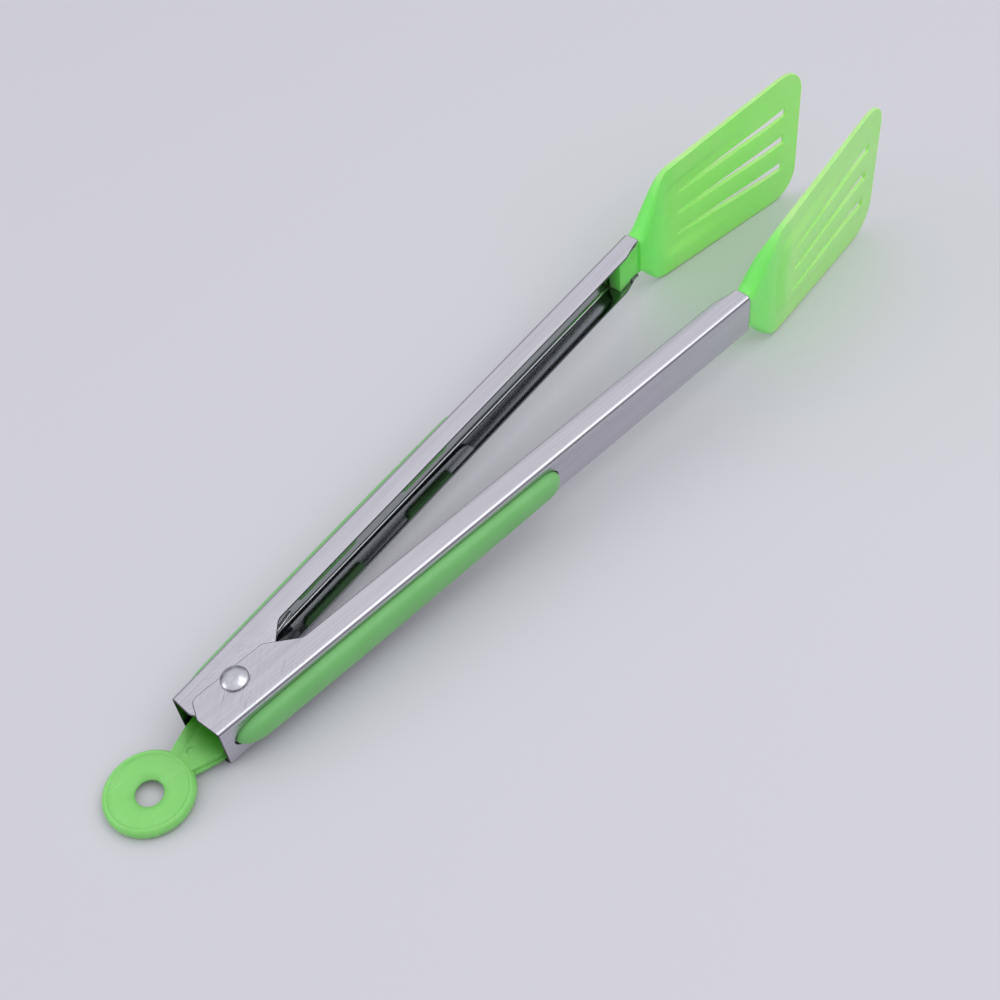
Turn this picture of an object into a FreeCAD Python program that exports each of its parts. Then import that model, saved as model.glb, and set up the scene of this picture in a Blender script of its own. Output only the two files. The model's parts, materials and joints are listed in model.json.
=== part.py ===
import FreeCAD, Part
import math
import os

# Spring loaded kitchen tongs: two pressed steel channels on one rivet, a torsion spring that opens
# them, slotted turner heads, soft grip pads, and a pull tab that holds the arms shut.
#
# Everything is first built in the tongs' own frame: the hinge axis is Z, the arms run forward
# along +X and the left arm is on the +Y side. At the end all pieces are tipped together so that
# the tongs lie on the plane Z = 0, on the heads' lower edges and the pull tab's ring.

Vector = FreeCAD.Vector
os.makedirs("parts", exist_ok=True)

# ---- arms: pressed channels -------------------------------------------------------------------
SHEET = 0.6              # thickness of the steel sheet
CHANNEL_HEIGHT = 16.8    # over the two cheeks
CHEEK_WIDTH = 7.7        # from the web's outer face to a cheek's free edge
BEND_RADIUS = 1.6        # outside of the fold between web and cheek
ARM_FRONT = 212.0        # hinge axis to the channel's front end
ARM_TAIL = 14.8          # hinge axis to the web's back end
WEB_OFFSET = 11.4        # hinge axis to the web's outer face
OPEN_ANGLE = 4.22        # each arm's angle to the centre line, open, in degrees
LUG_EDGE = 3.65          # how far a hinge lug reaches past the hinge axis
LUG_BULGE = 1.1          # how far a lug's back edge stands behind the web
LUG_FRONT = 12.8         # hinge axis to the front of the lug's full width
LUG_SLOPE = 9.8          # length of the slope from the lug down to the cheek
LUG_GAP = 0.06           # play between two lugs that lie on each other
FRONT_TAPER = 9.5        # length of the taper at a cheek's front end
FRONT_NARROWING = 1.4    # how much narrower a cheek is at its front end

# ---- pivot --------------------------------------------------------------------------------------
RIVET_RADIUS = 2.0
HEAD_RADIUS = 4.3        # the rivet's domed heads
HEAD_RIM = 0.5
HEAD_DOME = 1.5
RUN_CLEARANCE = 0.06     # radial play of a lug or the sleeve on the rivet
SLEEVE_RADIUS = 3.0
END_PLAY = 0.05          # play at each end of the sleeve and under each rivet head

# ---- return spring ------------------------------------------------------------------------------
WIRE_RADIUS = 0.8
COIL_PITCH = 1.7
COIL_CLEARANCE = 0.4     # coil to sleeve
LEG_REACH = 30.0         # hinge axis to a leg's end, along the tongs
SPRING_GAP = 0.3         # spring to the tab below it, and to the webs beside it

# ---- grip pads ----------------------------------------------------------------------------------
PAD_TAIL = -11.0         # back end of the pad, along the arm
PAD_FRONT = 119.4
PAD_TAIL_TAPER = 10.0    # length of the rounded back end
PAD_FRONT_TAPER = 7.0
PAD_END_HALF = 4.9       # half height where the rounded ends begin
PAD_HALF = 5.7           # half height in the middle
PAD_CROWN = 4.2          # how far the pad stands out of the web
POCKET_DEPTH = 0.8       # pressed pocket that the pad sits in
PAD_CLEARANCE = 0.25     # pad to the pocket's wall
LUG_HOLES = ((35.0, 62.0), (85.0, 107.0))   # along the arm: two long holes for the pad's lugs
LUG_HOLE_HALF = 1.8
PAD_LUG_CLEARANCE = 0.1
PAD_LUG_HEAD = 0.6       # how far a lug spreads past its hole inside the arm
PAD_LUG_HEAD_THICK = 0.8

# ---- turner heads -------------------------------------------------------------------------------
BLADE_LENGTH = 91.2      # channel's front end to the blade's tip
BLADE_TOE_IN = 10.33     # blade to arm, in degrees
BLADE_SETBACK = 0.3      # blade's middle plane behind the web's outer face, at the channel's end
HEEL_HALF = 24.4         # half height at the heel
TIP_HALF = 30.0          # half height at the tip, before its corners are rounded
HEEL_RUN = 15.6          # channel's end to the heel's corner
NECK_RUN = 2.2           # straight stretch of the neck before it flares
NECK_RADIUS = 4.0
HEEL_RADIUS = 12.0
TIP_RADIUS = 12.3
HEEL_THICK = 2.0
TIP_THICK = 1.1
NECK_THICK = 6.8
DISH_DEPTH = 1.8         # how far the blade's middle is sunk at the heel
DISH_FALL = 2.25         # how much of that is lost by the slots' front ends
RIM_WIDTH = 7.0          # flat border round the dish
DISH_SLOPE = 3.5         # width of the dish's sloping wall
SLOT_START = 27.0
SLOT_END = 83.0
SLOT_SPREAD_START = 9.9  # centre distance of two slots at their narrow ends
SLOT_SPREAD_END = 12.7
SLOT_HALF_START = 0.7
SLOT_HALF_END = 1.85
SLOT_CORNER = 0.6
TONGUE_LENGTH = 11.4     # of the tongue inside the channel
TONGUE_PLAY = 0.12       # tongue to the cheeks
TONGUE_SETBACK = 1.2     # tongue's back behind the web's outer face
TONGUE_WIDTH = 4.6
HEAD_GAP = 0.12          # between the channel's end and the head's neck
CRIMP_DEPTH = 1.0        # how far a pinched corner stands into the channel
CRIMP_LENGTH = 3.6
CRIMP_WIDTH = 1.3
CRIMP_SETBACK = 1.4      # channel's end to the pinched corner

# ---- pull tab -----------------------------------------------------------------------------------
RING_CENTRE = -37.0      # along the centre line
RING_RADIUS = 13.5
RING_HOLE_RADIUS = 4.2
RING_THICK = 4.0
RING_EDGE = 0.9          # rounding of the ring's edges
TAB_THICK = 3.4
TAB_PLAY = 0.2           # tab to the lower cheeks
TAB_LEDGE = 0.5          # how far the tab's lower layer stands out behind the shoulders
TAB_LEDGE_HEIGHT = 1.5
TAB_NARROW_HALF = 5.1    # half width where the tab meets the ring
TAB_MOUTH = -16.8        # where it goes in between the arms
TAB_MOUTH_PLAY = 1.8     # tab's edge to the line of the webs there
SHOULDER_BACK = -5.8     # the tab's widest stretch, beside the pockets when the arms are open
SHOULDER_FRONT = -4.6
SHOULDER_PLAY = 0.12     # shoulder to the pockets' inner faces, with the arms open
FORK_SETBACK = 0.7       # how much narrower the tab is in front of the shoulders
TAB_TRAVEL = 7.0
FORK_WALL = 2.4
SLEEVE_PLAY = 0.3        # sleeve to the tab's slot
DIMPLE_RADIUS = 1.4
DIMPLE_DEPTH = 0.3
DIMPLE_CENTRE = -20.8

# ---- sizes that follow from these ---------------------------------------------------------------
HALF_HEIGHT = CHANNEL_HEIGHT / 2
LUG_SHIFT = (SHEET + LUG_GAP) / 2                    # each arm lies this far off the middle plane
INNER_HALF = HALF_HEIGHT - SHEET
CLEAR_HALF = INNER_HALF - LUG_SHIFT                  # clear half height between all four lugs
STACK_HALF = HALF_HEIGHT + LUG_SHIFT                 # outside of the lug stack
HOLE_RADIUS = RIVET_RADIUS + RUN_CLEARANCE
TAB_BOTTOM = -CLEAR_HALF + TAB_PLAY
TAB_TOP = TAB_BOTTOM + TAB_THICK
COIL_ROOM = CLEAR_HALF - TAB_TOP - 2 * (SPRING_GAP + WIRE_RADIUS)
COIL_TURNS = int(COIL_ROOM / COIL_PITCH)             # as many turns as fit above the tab
OPEN = math.radians(OPEN_ANGLE)
TOE_IN = math.radians(BLADE_TOE_IN)
BLADE_BACK = ARM_FRONT + HEAD_GAP                    # where the head's neck starts


# ---- drawing helpers ----------------------------------------------------------------------------
def unit(vector):
    result = Vector(vector)
    result.normalize()
    return result


def rounded_wire(corners, to_space):
    """Closed outline through (a, b, radius) corners; to_space turns (a, b) into a point."""
    points = [to_space(a, b) for a, b, _ in corners]
    count = len(points)
    starts = []
    arcs = []
    ends = []
    for i, (_, _, radius) in enumerate(corners):
        corner = points[i]
        back = unit(points[i - 1] - corner)
        ahead = unit(points[(i + 1) % count] - corner)
        if radius == 0:
            starts.append(corner)
            arcs.append(None)
            ends.append(corner)
            continue
        half_angle = back.getAngle(ahead) / 2
        reach = radius / math.tan(half_angle)
        middle = corner + unit(back + ahead) * (radius / math.sin(half_angle) - radius)
        start = corner + back * reach
        end = corner + ahead * reach
        starts.append(start)
        arcs.append(Part.Arc(start, middle, end).toShape())
        ends.append(end)
    edges = []
    for i in range(count):
        if arcs[i]:
            edges.append(arcs[i])
        following = starts[(i + 1) % count]
        if ends[i].distanceToPoint(following) > 1e-6:
            edges.append(Part.LineSegment(ends[i], following).toShape())
    return Part.Wire(edges)


def prism(corners, to_space, direction):
    return Part.Face(rounded_wire(corners, to_space)).extrude(direction)


def plan(height):
    """Points (x, y) on the plane Z = height."""
    return lambda a, b: Vector(a, b, height)


def section(x):
    """Points (y, z) on the plane X = x."""
    return lambda a, b: Vector(x, a, b)


def elevation(y):
    """Points (x, z) on the plane Y = y."""
    return lambda a, b: Vector(a, y, b)


def mirrored(half):
    """A closed outline from its lower half, given from back to front."""
    return [(a, -b, r) for a, b, r in half] + [(a, b, r) for a, b, r in reversed(half)]


def box(x0, x1, y0, y1, z0, z1):
    return Part.makeBox(x1 - x0, y1 - y0, z1 - z0, Vector(x0, y0, z0))


def upright_cylinder(radius, z0, z1, x=0.0, y=0.0):
    return Part.makeCylinder(radius, z1 - z0, Vector(x, y, z0))


# ---- one arm, in its own frame: it runs along X, its web's outer face is Y = WEB_OFFSET ---------
def channel_section(outside, y_open):
    """The outside or the inside of the channel, as a solid bar over the arm's whole length."""
    shrink = 0 if outside else SHEET
    top = HALF_HEIGHT - shrink
    web = WEB_OFFSET - shrink
    radius = BEND_RADIUS - shrink
    corners = [(y_open, -top, 0), (web, -top, radius), (web, top, radius), (y_open, top, 0)]
    back = -ARM_TAIL - LUG_BULGE - 1
    return prism(corners, section(back), Vector(ARM_FRONT - back + 1, 0, 0))


def cheek_outline():
    """Plan of the arm: web at the back, hinge lug, slope, long cheek and its tapered front end."""
    free_edge = WEB_OFFSET - CHEEK_WIDTH
    narrow_edge = free_edge + FRONT_NARROWING
    return [
        (-ARM_TAIL, WEB_OFFSET, 0),
        (-ARM_TAIL - LUG_BULGE, WEB_OFFSET - 8.6, 3.0),
        (-ARM_TAIL + 1.9, -LUG_EDGE, 2.4),
        (LUG_FRONT, -LUG_EDGE, 2.5),
        (LUG_FRONT + LUG_SLOPE, free_edge, 4.0),
        (ARM_FRONT - FRONT_TAPER, free_edge, 6.0),
        (ARM_FRONT - FRONT_TAPER / 3, narrow_edge, 3.0),
        (ARM_FRONT, narrow_edge, 1.2),
        (ARM_FRONT, WEB_OFFSET, 0),
    ]


def pad_outline(shrink, y):
    """Outline of the grip pad, drawn in by shrink, on the plane Y = y."""
    end_half = PAD_END_HALF - shrink
    middle_half = PAD_HALF - shrink
    tail = PAD_TAIL + PAD_TAIL_TAPER
    front = PAD_FRONT - PAD_FRONT_TAPER
    centre = (tail + front) / 2
    edges = []
    for x, length, sense in ((tail, PAD_TAIL_TAPER, -1), (front, PAD_FRONT_TAPER, 1)):
        tip = Vector(x + sense * (length - shrink), y, 0)
        side = Vector(x, y, end_half)
        ellipse = Part.Ellipse(tip, side, Vector(x, y, 0))
        edges.append(Part.ArcOfEllipse(ellipse, -math.pi / 2, math.pi / 2).toShape())
    for sense in (-1, 1):
        start = Vector(tail, y, sense * end_half)
        middle = Vector(centre, y, sense * middle_half)
        end = Vector(front, y, sense * end_half)
        edges.append(Part.Arc(start, middle, end).toShape())
    return Part.Wire(Part.__sortEdges__(edges))


def pad_prism(shrink, y0, y1):
    return Part.Face(pad_outline(shrink, y0)).extrude(Vector(0, y1 - y0, 0))


def long_hole(start, end, half, y0, y1):
    """A bar with round ends through the web, between the planes Y = y0 and Y = y1."""
    corners = [(start, -half, half), (end, -half, half), (end, half, half), (start, half, half)]
    almost = half * 0.999
    corners = [(a, b, almost) for a, b, _ in corners]
    return prism(corners, elevation(y0), Vector(0, y1 - y0, 0))


def crimp(side, grow):
    """The pinched front corner of one cheek, or with grow the room it needs; side is +1 for the upper."""
    x1 = ARM_FRONT - CRIMP_SETBACK
    y0 = WEB_OFFSET - CHEEK_WIDTH + FRONT_NARROWING
    inner = INNER_HALF - CRIMP_DEPTH - grow
    outer = HALF_HEIGHT - SHEET / 2 + grow
    low = inner if side > 0 else -outer
    high = outer if side > 0 else -inner
    return box(x1 - CRIMP_LENGTH - grow, x1 + grow, y0 - grow, y0 + CRIMP_WIDTH + grow, low, high)


def make_arm():
    outside = channel_section(True, -LUG_EDGE - 2)
    inside = channel_section(False, -LUG_EDGE - 4)
    trim = prism(cheek_outline(), plan(-HALF_HEIGHT - 1), Vector(0, 0, CHANNEL_HEIGHT + 2))
    arm = outside.cut(inside).common(trim)
    arm = arm.cut(upright_cylinder(HOLE_RADIUS, -HALF_HEIGHT - 1, HALF_HEIGHT + 1))
    pocket_floor = WEB_OFFSET - POCKET_DEPTH
    arm = arm.fuse(pad_prism(-SHEET, pocket_floor - SHEET, WEB_OFFSET - SHEET / 2))
    arm = arm.cut(pad_prism(0, pocket_floor, WEB_OFFSET + 1))
    for start, end in LUG_HOLES:
        arm = arm.cut(long_hole(start, end, LUG_HOLE_HALF, pocket_floor - SHEET - 1, WEB_OFFSET))
    for side in (-1, 1):
        arm = arm.fuse(crimp(side, 0))
    return arm.removeSplitter()


# ---- grip pad: a soft crowned bar, held by two long lugs that spread behind the web -------------
def make_pad():
    floor = WEB_OFFSET - POCKET_DEPTH
    inner_face = floor - SHEET
    layers = [pad_outline(PAD_CLEARANCE, floor)]
    for share in (0.0, 0.28, 0.52, 0.72, 0.88, 0.97):
        width = math.sqrt(1 - share ** 2)
        shrink = PAD_CLEARANCE + (PAD_END_HALF - PAD_CLEARANCE) * (1 - width)
        layers.append(pad_outline(shrink, WEB_OFFSET + share * PAD_CROWN))
    pad = Part.makeLoft(layers, True, True)
    for start, end in LUG_HOLES:
        gap = PAD_LUG_CLEARANCE
        half = LUG_HOLE_HALF - gap
        pad = pad.fuse(long_hole(start + gap, end - gap, half, inner_face - gap, floor + 0.2))
        spread = PAD_LUG_HEAD
        back = inner_face - gap - PAD_LUG_HEAD_THICK
        front = inner_face - gap
        pad = pad.fuse(long_hole(start - spread, end + spread, LUG_HOLE_HALF + spread, back, front))
    return pad


# ---- turner head: blade, neck and tongue in one moulding ----------------------------------------
def blade_outline():
    """Half outline of the head in the blade's own plane, from the neck to the tip."""
    neck_half = HALF_HEIGHT - 0.2
    return mirrored([
        (0, neck_half, 0),
        (NECK_RUN, neck_half, NECK_RADIUS),
        (HEEL_RUN, HEEL_HALF, HEEL_RADIUS),
        (BLADE_LENGTH, TIP_HALF, TIP_RADIUS),
    ])


def blade_section():
    """Thickness of the head along its length: deep neck, thin heel, thinner tip."""
    heel = HEEL_THICK / 2
    tip = TIP_THICK / 2
    outer = BLADE_SETBACK - 0.1
    inner = outer - NECK_THICK
    neck_back = -inner * math.tan(TOE_IN)
    return [
        (0, outer, 0),
        (HEEL_RUN * 0.8, heel, 8),
        (BLADE_LENGTH + 1, tip, 0),
        (BLADE_LENGTH + 1, -tip, 0),
        (HEEL_RUN * 1.6, -heel, 12),
        (HEEL_RUN * 0.8, -heel - 0.8, 4),
        (HEEL_RUN * 0.4, inner * 0.65, 3),
        (neck_back, inner, 0),
    ]


def rim_slope():
    return (TIP_HALF - HEEL_HALF) / (BLADE_LENGTH - HEEL_RUN)


def dish_ring(inset, level, falls):
    """One outline of the dish, drawn in from the blade's edge by inset."""
    start = HEEL_RUN + inset * 0.35
    front = SLOT_END + 3.0
    shoulder = HEEL_RUN + inset
    start_half, shoulder_half, front_half = [
        HEEL_HALF + rim_slope() * (x - HEEL_RUN) - inset for x in (start, shoulder, front)
    ]
    lower = [(start, start_half * 0.56), (shoulder, shoulder_half), (front, front_half)]
    outline = [(x, -z) for x, z in lower] + [(x, z) for x, z in reversed(lower)]
    points = []
    for x, z in outline:
        fall = DISH_FALL * (x - HEEL_RUN) / (front - HEEL_RUN) if falls else 0
        points.append(Vector(x, level - fall, z))
    return Part.makePolygon(points + points[:1])


def slot_corners(middle_start, middle_end):
    return [
        (SLOT_START, middle_start - SLOT_HALF_START, SLOT_CORNER),
        (SLOT_END, middle_end - SLOT_HALF_END, SLOT_CORNER),
        (SLOT_END, middle_end + SLOT_HALF_END, SLOT_CORNER),
        (SLOT_START, middle_start + SLOT_HALF_START, SLOT_CORNER),
    ]


def make_blade():
    tall = TIP_HALF + 5
    heel = HEEL_THICK / 2
    face = prism(blade_outline(), elevation(-20), Vector(0, 40, 0))
    side = prism(blade_section(), plan(-tall), Vector(0, 0, 2 * tall))
    blade = face.common(side)
    inner_inset = RIM_WIDTH + DISH_SLOPE
    raised = Part.makeLoft([
        dish_ring(RIM_WIDTH, 0.1, False),
        dish_ring(inner_inset, heel + DISH_DEPTH, True),
    ], True, True)
    sunk = Part.makeLoft([
        dish_ring(RIM_WIDTH, -heel - 3.0, False),
        dish_ring(RIM_WIDTH, -heel, False),
        dish_ring(inner_inset, -heel + DISH_DEPTH, True),
    ], True, True)
    blade = blade.fuse(raised).cut(sunk)
    for row in (-1, 0, 1):
        corners = slot_corners(row * SLOT_SPREAD_START, row * SLOT_SPREAD_END)
        blade = blade.cut(prism(corners, elevation(-8), Vector(0, 16, 0)))
    return blade


def make_head():
    blade = make_blade()
    blade.rotate(Vector(0, 0, 0), Vector(0, 0, 1), -BLADE_TOE_IN)
    blade.translate(Vector(BLADE_BACK, WEB_OFFSET - BLADE_SETBACK, 0))
    tongue_half = INNER_HALF - TONGUE_PLAY
    tongue_back = WEB_OFFSET - TONGUE_SETBACK
    corners = [
        (tongue_back - TONGUE_WIDTH, -tongue_half, 0.6),
        (tongue_back, -tongue_half, 1.2),
        (tongue_back, tongue_half, 1.2),
        (tongue_back - TONGUE_WIDTH, tongue_half, 0.6),
    ]
    tongue = prism(corners, section(ARM_FRONT - TONGUE_LENGTH), Vector(TONGUE_LENGTH + 1.6, 0, 0))
    for side in (-1, 1):
        tongue = tongue.cut(crimp(side, TONGUE_PLAY))
    return blade.fuse(tongue)


# ---- pivot: rivet, spacer sleeve and return spring ----------------------------------------------
def rivet_head(seat, sense):
    """A low dome on a short rim; seat is its flat side, sense +1 for the upper head."""
    rim = seat + sense * HEAD_RIM
    top = rim + sense * HEAD_DOME
    sphere = (HEAD_RADIUS ** 2 + HEAD_DOME ** 2) / (2 * HEAD_DOME)
    half_angle = math.asin(HEAD_RADIUS / sphere) / 2
    middle = Vector(sphere * math.sin(half_angle), 0, top - sense * sphere * (1 - math.cos(half_angle)))
    edges = [
        Part.LineSegment(Vector(0, 0, seat), Vector(HEAD_RADIUS, 0, seat)).toShape(),
        Part.LineSegment(Vector(HEAD_RADIUS, 0, seat), Vector(HEAD_RADIUS, 0, rim)).toShape(),
        Part.Arc(Vector(HEAD_RADIUS, 0, rim), middle, Vector(0, 0, top)).toShape(),
        Part.LineSegment(Vector(0, 0, top), Vector(0, 0, seat)).toShape(),
    ]
    return Part.Face(Part.Wire(edges)).revolve(Vector(0, 0, 0), Vector(0, 0, 1), 360)


def make_rivet():
    seat = STACK_HALF + END_PLAY
    rivet = upright_cylinder(RIVET_RADIUS, -seat - HEAD_RIM / 2, seat + HEAD_RIM / 2)
    return rivet.fuse(rivet_head(seat, 1)).fuse(rivet_head(-seat, -1)).removeSplitter()


def make_sleeve():
    half = CLEAR_HALF - END_PLAY
    return upright_cylinder(SLEEVE_RADIUS, -half, half).cut(upright_cylinder(HOLE_RADIUS, -half, half))


def make_spring():
    """Coil round the sleeve, and a straight leg from each end of it to the inside of an arm."""
    radius = SLEEVE_RADIUS + COIL_CLEARANCE + WIRE_RADIUS
    bottom = TAB_TOP + SPRING_GAP + WIRE_RADIUS
    inner_face = WEB_OFFSET - POCKET_DEPTH - SHEET - SPRING_GAP - WIRE_RADIUS
    leg_y = inner_face / math.cos(OPEN) + LEG_REACH * math.tan(OPEN)
    distance = math.hypot(LEG_REACH, leg_y)
    leg_direction = math.atan2(leg_y, LEG_REACH) - math.asin(radius / distance)
    tangent_angle = leg_direction + math.pi / 2
    sweep = 2 * (math.pi - tangent_angle)
    turns = COIL_TURNS - 1 + sweep / (2 * math.pi)
    height = COIL_PITCH * turns
    helix = Part.makeHelix(COIL_PITCH, height, radius)
    profile = Part.Wire(Part.makeCircle(WIRE_RADIUS, Vector(radius, 0, 0), Vector(0, 1, 0)))
    coil = Part.Wire(helix).makePipeShell([profile], True, True)
    coil.translate(Vector(0, 0, bottom))
    coil.rotate(Vector(0, 0, 0), Vector(0, 0, 1), math.degrees(tangent_angle))
    spring = coil
    for side, z in ((1, bottom), (-1, bottom + height)):
        start = Vector(radius * math.cos(tangent_angle), side * radius * math.sin(tangent_angle), z)
        end = Vector(LEG_REACH, side * leg_y, z)
        leg = Part.makeCylinder(WIRE_RADIUS, start.distanceToPoint(end), start, end - start)
        spring = spring.fuse(leg)
    return spring


# ---- pull tab: hanging ring, and a forked tab whose shoulders lock the arms shut ----------------
def tab_outline(ledge):
    """Outline of one layer of the tab; ledge is how far it stands back at the tab's narrow end."""
    web_face = WEB_OFFSET - SHEET
    mouth = web_face / math.cos(OPEN) + TAB_MOUTH * math.tan(OPEN) - TAB_MOUTH_PLAY
    pocket_face = web_face - POCKET_DEPTH
    shoulder = pocket_face / math.cos(OPEN) + SHOULDER_BACK * math.tan(OPEN) - SHOULDER_PLAY
    fork = shoulder - FORK_SETBACK
    ring_edge = RING_CENTRE + RING_RADIUS
    front = TAB_TRAVEL + SLEEVE_RADIUS + SLEEVE_PLAY + FORK_WALL
    return mirrored([
        (ring_edge - 5.0, TAB_NARROW_HALF - 1.6, 0),
        (ring_edge - 0.9, TAB_NARROW_HALF - ledge, 0),
        (TAB_MOUTH, mouth - ledge, 6.0),
        (SHOULDER_BACK, shoulder, 0.6),
        (SHOULDER_FRONT, shoulder, 0.6),
        (SHOULDER_FRONT + 2.5, fork, 2.5),
        (front, fork, 2.5),
    ])


def make_pull_tab():
    step = TAB_BOTTOM + TAB_LEDGE_HEIGHT
    tab = prism(tab_outline(0), plan(TAB_BOTTOM), Vector(0, 0, TAB_LEDGE_HEIGHT))
    tab = tab.fuse(prism(tab_outline(TAB_LEDGE), plan(step), Vector(0, 0, TAB_TOP - step)))
    slot_half = SLEEVE_RADIUS + SLEEVE_PLAY
    slot = upright_cylinder(slot_half, TAB_BOTTOM - 1, TAB_TOP + 1)
    slot = slot.fuse(upright_cylinder(slot_half, TAB_BOTTOM - 1, TAB_TOP + 1, TAB_TRAVEL))
    slot = slot.fuse(box(0, TAB_TRAVEL, -slot_half, slot_half, TAB_BOTTOM - 1, TAB_TOP + 1))
    ring_middle = (TAB_BOTTOM + TAB_TOP) / 2
    ring_bottom = ring_middle - RING_THICK / 2
    ring_top = ring_middle + RING_THICK / 2
    ring = upright_cylinder(RING_RADIUS, ring_bottom, ring_top, RING_CENTRE)
    ring = ring.cut(upright_cylinder(RING_HOLE_RADIUS, ring_bottom - 1, ring_top + 1, RING_CENTRE))
    rims = [edge for edge in ring.Edges if edge.BoundBox.ZLength < 0.01]
    ring = ring.makeFillet(RING_EDGE, rims)
    dimple = upright_cylinder(DIMPLE_RADIUS, TAB_TOP - DIMPLE_DEPTH, TAB_TOP + 1, DIMPLE_CENTRE)
    return tab.fuse(ring).cut(slot).cut(dimple)


# ---- assembly -----------------------------------------------------------------------------------
def on_left(shape):
    placed = shape.copy()
    placed.translate(Vector(0, 0, -LUG_SHIFT))
    placed.rotate(Vector(0, 0, 0), Vector(0, 0, 1), OPEN_ANGLE)
    return placed


def on_right(shape):
    """The right arm is the left one turned over about the centre line."""
    placed = on_left(shape)
    placed.rotate(Vector(0, 0, 0), Vector(1, 0, 0), 180)
    return placed


arm = make_arm()
pad = make_pad()
head = make_head()
pieces = {
    "arm_left": on_left(arm),
    "arm_right": on_right(arm),
    "grip_pad_left": on_left(pad),
    "grip_pad_right": on_right(pad),
    "turner_head_left": on_left(head),
    "turner_head_right": on_right(head),
    "pivot_rivet": make_rivet(),
    "spacer_sleeve": make_sleeve(),
    "return_spring": make_spring(),
    "pull_tab": make_pull_tab(),
}


# ---- laying the tongs on the table --------------------------------------------------------------
def lowest_after(angle, names):
    heights = []
    for name in names:
        turned = pieces[name].copy()
        turned.rotate(Vector(0, 0, 0), Vector(0, 1, 0), -angle)
        heights.append(turned.optimalBoundingBox().ZMin)
    return min(heights)


def resting_angle():
    """The tilt at which the ring and the heads' lower edges touch one level plane."""
    low, high = 0.0, 12.0
    for _ in range(18):
        middle = (low + high) / 2
        ring_low = lowest_after(middle, ["pull_tab"])
        heads_low = lowest_after(middle, ["turner_head_left", "turner_head_right"])
        if ring_low > heads_low:
            low = middle
        else:
            high = middle
    return (low + high) / 2


tilt = resting_angle()
for shape in pieces.values():
    shape.rotate(Vector(0, 0, 0), Vector(0, 1, 0), -tilt)
bounds = FreeCAD.BoundBox()
for shape in pieces.values():
    bounds.add(shape.optimalBoundingBox())
shift = Vector(-bounds.Center.x, 0, -bounds.ZMin)
for name, shape in pieces.items():
    shape.translate(shift)
    shape.exportStep("parts/" + name + ".step")
    print(name, "valid", shape.isValid(), "solids", len(shape.Solids), "volume", round(shape.Volume, 1))

print("tilt", round(tilt, 4), "hinge point", shift, "size", bounds.XLength, bounds.YLength, bounds.ZLength)
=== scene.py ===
import json
import math

import bmesh
import bpy
from mathutils import Euler, Matrix, Vector


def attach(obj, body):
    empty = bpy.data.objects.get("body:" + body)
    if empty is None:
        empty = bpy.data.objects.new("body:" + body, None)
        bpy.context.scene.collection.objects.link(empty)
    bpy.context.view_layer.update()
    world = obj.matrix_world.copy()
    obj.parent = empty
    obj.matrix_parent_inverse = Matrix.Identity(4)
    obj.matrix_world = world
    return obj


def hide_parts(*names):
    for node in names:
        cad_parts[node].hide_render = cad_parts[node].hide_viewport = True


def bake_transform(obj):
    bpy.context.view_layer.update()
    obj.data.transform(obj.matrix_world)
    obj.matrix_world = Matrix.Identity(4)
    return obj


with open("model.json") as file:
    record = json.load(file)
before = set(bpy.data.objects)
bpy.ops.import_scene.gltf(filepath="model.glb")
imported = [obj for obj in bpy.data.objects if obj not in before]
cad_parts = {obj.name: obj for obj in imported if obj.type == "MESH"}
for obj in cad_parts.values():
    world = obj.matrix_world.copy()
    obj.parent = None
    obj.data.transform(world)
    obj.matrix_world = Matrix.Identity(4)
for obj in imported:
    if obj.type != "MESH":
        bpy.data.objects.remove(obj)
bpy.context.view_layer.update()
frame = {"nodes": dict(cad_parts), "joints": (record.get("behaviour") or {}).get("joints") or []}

# ---- Arms -----------------------------------------------------------------------------------------
# Two channels pressed from 0.6 mm stainless sheet, one turned over, so their hinge lugs lie on each
# other. They are brushed lengthwise, with finer cross scratches round the hinge, and every cut edge is
# broken. The faces of the broken edges are painted near black as shade, and the inside of each channel
# is painted darker as shade.
MM = 0.001
OPEN_ANGLE = math.radians(4.22)
LUG_SHIFT = 0.33
SHEET = 0.6
WEB_OFFSET = 11.4
CHANNEL_HALF = 8.4
EDGE_BREAK = 0.25
MERGE_GAP = 0.002
FLAT_ANGLE = 0.002
CUT_EDGE_ANGLE = 0.9
ARM_SMOOTH_ANGLE = 0.37
STEEL_COLOUR = (0.64, 0.63, 0.67, 1)
STEEL_GROOVE = (0.48, 0.47, 0.52, 1)
# Painted shade: the darker colour for the inside of each channel.
STEEL_INSIDE_SHADE = (0.30, 0.31, 0.32, 1)
# Near black, for the scratches at the hinge and for painted shade on the broken cut edges.
STEEL_SCRATCH_AND_EDGE_SHADE = (0.09, 0.09, 0.10, 1)
STEEL_ROUGHNESS = 0.30
INSIDE_ROUGHNESS = 0.13
BRUSH_DEPTH = 0.35
BRUSH_LINES = (0.035, 6.0, 6.0)
BRUSH_STREAKS = (0.018, 1.1, 1.1)
CROSS_LINES = (0.09, 5.0, 5.0)
CROSS_ANGLE = math.radians(38)
CROSS_FULL_TO = 10
CROSS_GONE_FROM = 34
NOISE_LOW = 0.3
NOISE_HIGH = 0.7

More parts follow.
